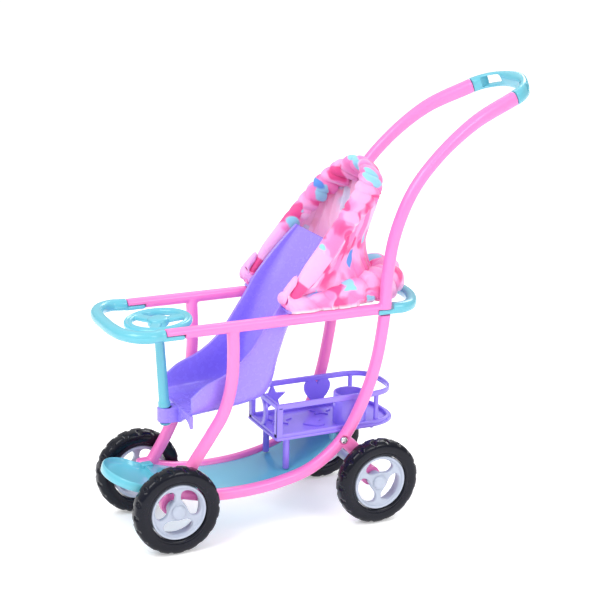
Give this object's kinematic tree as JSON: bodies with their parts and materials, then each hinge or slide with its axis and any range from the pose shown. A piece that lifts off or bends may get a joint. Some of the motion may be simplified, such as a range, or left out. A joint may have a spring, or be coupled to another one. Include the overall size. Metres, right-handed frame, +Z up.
{
  "type": "doll stroller",
  "caption": "Doll's stroller with bowed side frames, bucket seat, toy steering wheel, accessory tray and folding fabric canopy on free-turning wheels.",
  "frame": {"origin": "on the floor, under the middle of the whole stroller", "axes": "+Z up, +Y towards the handle at the rear, +X towards the seated doll's left"},
  "size_m": [0.0642, 0.2002, 0.192],
  "materials": {
    "pink_plastic": "gloss",
    "teal_plastic": "gloss",
    "lilac_plastic": "gloss",
    "violet_plastic": "gloss",
    "grey_plastic": "satin",
    "black_plastic": "gloss",
    "steel": "polished",
    "print_fabric": "woven, printed"
  },
  "bodies": {
    "frame": {"side_frame_left": "pink_plastic", "side_frame_right": "pink_plastic", "floor_panel": "teal_plastic", "front_bumper": "teal_plastic", "rear_bumper": "teal_plastic", "handle_grip": "teal_plastic", "front_screw_left": "steel", "front_screw_right": "steel", "rear_screw_left": "steel", "rear_screw_right": "steel", "front_axle": "grey_plastic", "rear_axle": "grey_plastic", "axle_cap_front_left": "grey_plastic", "axle_cap_front_right": "grey_plastic", "axle_cap_rear_left": "grey_plastic", "axle_cap_rear_right": "grey_plastic", "seat": "lilac_plastic", "tray": "violet_plastic", "canopy_rear_hoop": "pink_plastic", "canopy_rear_casing": "print_fabric", "canopy_cover": "print_fabric"},
    "wheel_front_left": {"tyre_front_left": "black_plastic", "hub_front_left": "grey_plastic"},
    "wheel_front_right": {"tyre_front_right": "black_plastic", "hub_front_right": "grey_plastic"},
    "wheel_rear_left": {"tyre_rear_left": "black_plastic", "hub_rear_left": "grey_plastic"},
    "wheel_rear_right": {"tyre_rear_right": "black_plastic", "hub_rear_right": "grey_plastic"},
    "steering": {"steering_column": "teal_plastic", "steering_wheel": "teal_plastic"},
    "hood": {"canopy_front_hoop": "pink_plastic", "canopy_front_casing": "print_fabric"}
  },
  "joints": [
    {"name": "wheel_front_left_spin", "type": "hinge", "parent": "frame", "child": "wheel_front_left", "pos_m": [0.0235, -0.07513, 0.01915], "axis": [1, 0, 0], "continuous": true},
    {"name": "wheel_front_right_spin", "type": "hinge", "parent": "frame", "child": "wheel_front_right", "pos_m": [-0.0235, -0.07513, 0.01915], "axis": [1, 0, 0], "continuous": true},
    {"name": "wheel_rear_left_spin", "type": "hinge", "parent": "frame", "child": "wheel_rear_left", "pos_m": [0.0277, 0.01786, 0.01915], "axis": [1, 0, 0], "continuous": true},
    {"name": "wheel_rear_right_spin", "type": "hinge", "parent": "frame", "child": "wheel_rear_right", "pos_m": [-0.0277, 0.01786, 0.01915], "axis": [1, 0, 0], "continuous": true},
    {"name": "steering_turn", "type": "hinge", "parent": "frame", "child": "steering", "pos_m": [0, -0.0742, 0.09509], "axis": [0, -0.0732, 0.9973], "continuous": true},
    {"name": "hood_fold", "type": "hinge", "parent": "frame", "child": "hood", "pos_m": [0, -0.02334, 0.1034], "axis": [1, 0, 0], "range_deg": [-20, 25], "deforming": ["canopy_cover"]}
  ]
}
